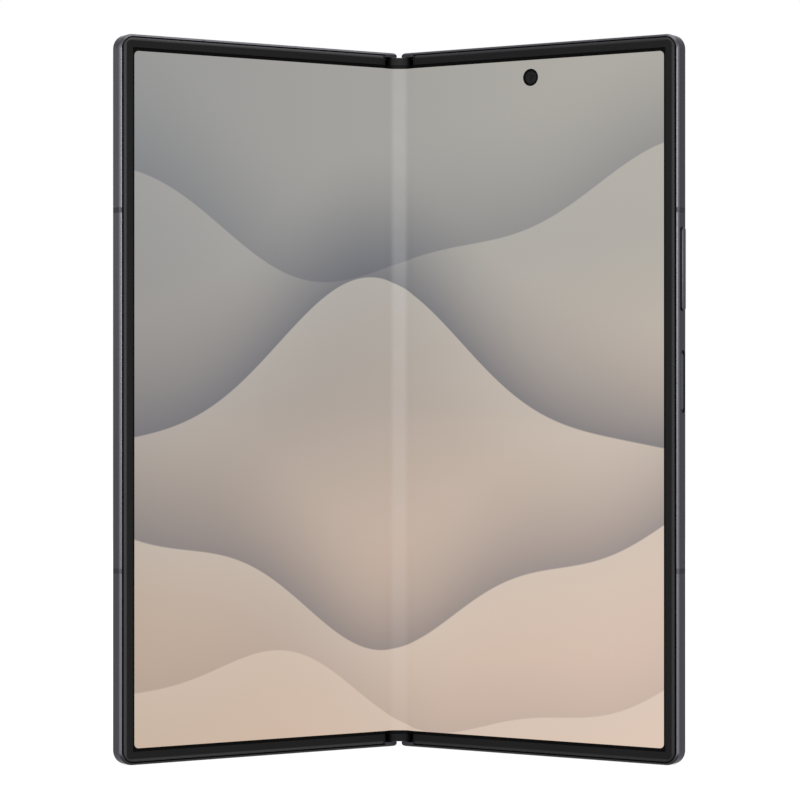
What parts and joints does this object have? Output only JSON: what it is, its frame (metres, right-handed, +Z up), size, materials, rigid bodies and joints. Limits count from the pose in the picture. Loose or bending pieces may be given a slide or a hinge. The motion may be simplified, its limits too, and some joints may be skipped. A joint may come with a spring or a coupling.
{
  "type": "foldable smartphone",
  "caption": "Book-style folding smartphone with a geared hinge, a flexible inner screen, a cover screen and a rear camera island, standing part folded.",
  "frame": {"origin": "centre of the bounding box at its base, on the surface that the phone stands on", "axes": "+Z up along the hinge; -Y towards a viewer who looks at the inner screen; +X to that viewer's right"},
  "size_m": [0.1243, 0.0414, 0.1584],
  "materials": {
    "graphite_metal": "dark satin anodised",
    "key_metal": "dark satin anodised",
    "band_plastic": "moulded, satin",
    "hinge_metal": "dark satin anodised",
    "cap_plastic": "moulded, soft gloss",
    "bearing_steel": "machined",
    "polished_steel": "polished",
    "gear_bronze": "machined",
    "surround": "soft matt moulding",
    "screen": "smooth polymer film, lit from behind",
    "screen_plate": "rolled sheet",
    "cover_glass": "polished",
    "cover_display": "black panel",
    "back_glass": "frosted dark glass",
    "lens_glass": "polished",
    "ring_metal": "turned, dark",
    "camera_black": "matt black",
    "flash": "frosted yellow-white",
    "battery_foil": "wrapped foil pouch",
    "board": "solder mask with bright cans",
    "speaker_plastic": "moulded",
    "sheet_steel": "pressed sheet"
  },
  "bodies": {
    "hinge": {"hinge_housing": "hinge_metal", "hinge_cap_top": "cap_plastic", "hinge_cap_bottom": "cap_plastic", "rail_block_top": "bearing_steel", "rail_block_middle": "bearing_steel", "rail_block_bottom": "bearing_steel", "gear_bracket_top": "bearing_steel", "gear_bracket_bottom": "bearing_steel", "gear_shafts": "polished_steel", "torque_springs": "polished_steel", "cam_slider_top": "bearing_steel", "cam_slider_bottom": "bearing_steel", "screen_fold": "screen", "screen_plate_fold": "screen_plate"},
    "left_half": {"frame_left": "graphite_metal", "surround_left": "surround", "screen_left": "screen", "screen_plate_left": "screen_plate", "rail_arms_left": "bearing_steel", "arm_screws_left": "polished_steel", "antenna_bands_left": "band_plastic", "cover_glass": "cover_glass", "cover_display": "cover_display", "cover_camera": "camera_black", "battery_left": "battery_foil", "board_left": "board", "earpiece_speaker": "speaker_plastic", "card_reader": "sheet_steel"},
    "right_half": {"frame_right": "graphite_metal", "surround_right": "surround", "screen_right": "screen", "screen_plate_right": "screen_plate", "rail_arms_right": "bearing_steel", "arm_screws_right": "polished_steel", "antenna_bands_right": "band_plastic", "back_glass": "back_glass", "camera_island": "graphite_metal", "camera_rings": "ring_metal", "camera_windows": "lens_glass", "camera_modules": "camera_black", "flash_lens": "flash", "front_camera": "camera_black", "battery_right": "battery_foil", "main_board": "board", "loudspeaker": "speaker_plastic", "vibration_motor": "sheet_steel", "usb_socket": "sheet_steel", "key_switches": "sheet_steel"},
    "volume_key": {"volume_key": "key_metal"},
    "power_key": {"power_key": "key_metal"},
    "card_tray": {"card_tray": "graphite_metal"},
    "timing_arm_left_top": {"timing_arm_left_top": "bearing_steel"},
    "idler_gear_left_top": {"idler_gear_left_top": "gear_bronze"},
    "timing_arm_right_top": {"timing_arm_right_top": "bearing_steel"},
    "idler_gear_right_top": {"idler_gear_right_top": "gear_bronze"},
    "timing_arm_left_bottom": {"timing_arm_left_bottom": "bearing_steel"},
    "idler_gear_left_bottom": {"idler_gear_left_bottom": "gear_bronze"},
    "timing_arm_right_bottom": {"timing_arm_right_bottom": "bearing_steel"},
    "idler_gear_right_bottom": {"idler_gear_right_bottom": "gear_bronze"}
  },
  "joints": [
    {"name": "right_fold", "type": "hinge", "parent": "hinge", "child": "right_half", "pos_m": [0.0013, 0.01747, 0.0792], "axis": [0, 0, -1], "range_deg": [-32.5, 57.5], "deforming": ["screen_fold", "screen_plate_fold"]},
    {"name": "left_fold", "type": "hinge", "parent": "hinge", "child": "left_half", "pos_m": [-0.0013, 0.01747, 0.0792], "axis": [0, 0, 1], "range_deg": [-32.5, 57.5], "deforming": ["screen_fold", "screen_plate_fold"]},
    {"name": "timing_arm_left_top_turn", "type": "hinge", "parent": "hinge", "child": "timing_arm_left_top", "pos_m": [-0.0021, 0.01837, 0.1374], "axis": [0, 0, 1], "range_deg": [-32.5, 57.5]},
    {"name": "idler_gear_left_top_turn", "type": "hinge", "parent": "hinge", "child": "idler_gear_left_top", "pos_m": [-0.0007, 0.01837, 0.1374], "axis": [0, 0, -1], "range_deg": [-32.5, 57.5]},
    {"name": "timing_arm_right_top_turn", "type": "hinge", "parent": "hinge", "child": "timing_arm_right_top", "pos_m": [0.0021, 0.01837, 0.1374], "axis": [0, 0, -1], "range_deg": [-32.5, 57.5]},
    {"name": "idler_gear_right_top_turn", "type": "hinge", "parent": "hinge", "child": "idler_gear_right_top", "pos_m": [0.0007, 0.01837, 0.1374], "axis": [0, 0, 1], "range_deg": [-32.5, 57.5]},
    {"name": "timing_arm_left_bottom_turn", "type": "hinge", "parent": "hinge", "child": "timing_arm_left_bottom", "pos_m": [-0.0021, 0.01837, 0.021], "axis": [0, 0, 1], "range_deg": [-32.5, 57.5]},
    {"name": "idler_gear_left_bottom_turn", "type": "hinge", "parent": "hinge", "child": "idler_gear_left_bottom", "pos_m": [-0.0007, 0.01837, 0.021], "axis": [0, 0, -1], "range_deg": [-32.5, 57.5]},
    {"name": "timing_arm_right_bottom_turn", "type": "hinge", "parent": "hinge", "child": "timing_arm_right_bottom", "pos_m": [0.0021, 0.01837, 0.021], "axis": [0, 0, -1], "range_deg": [-32.5, 57.5]},
    {"name": "idler_gear_right_bottom_turn", "type": "hinge", "parent": "hinge", "child": "idler_gear_right_bottom", "pos_m": [0.0007, 0.01837, 0.021], "axis": [0, 0, 1], "range_deg": [-32.5, 57.5]},
    {"name": "volume_key_press", "type": "slide", "parent": "right_half", "child": "volume_key", "axis": [-0.8434, 0.5373, 0], "range_m": [0, 0.00025], "stiffness_N_per_m": 150, "springref_m": -0.001},
    {"name": "power_key_press", "type": "slide", "parent": "right_half", "child": "power_key", "axis": [-0.8434, 0.5373, 0], "range_m": [0, 0.00025], "stiffness_N_per_m": 150, "springref_m": -0.001},
    {"name": "card_tray_slide", "type": "slide", "parent": "left_half", "child": "card_tray", "axis": [0, 0, 1], "range_m": [0, 0.0215]}
  ],
  "couplings": [
    {"joint": "left_fold", "follows": "right_fold", "ratio": 1},
    {"joint": "timing_arm_left_top_turn", "follows": "right_fold", "ratio": 1},
    {"joint": "idler_gear_left_top_turn", "follows": "right_fold", "ratio": 1},
    {"joint": "timing_arm_right_top_turn", "follows": "right_fold", "ratio": 1},
    {"joint": "idler_gear_right_top_turn", "follows": "right_fold", "ratio": 1},
    {"joint": "timing_arm_left_bottom_turn", "follows": "right_fold", "ratio": 1},
    {"joint": "idler_gear_left_bottom_turn", "follows": "right_fold", "ratio": 1},
    {"joint": "timing_arm_right_bottom_turn", "follows": "right_fold", "ratio": 1},
    {"joint": "idler_gear_right_bottom_turn", "follows": "right_fold", "ratio": 1}
  ]
}
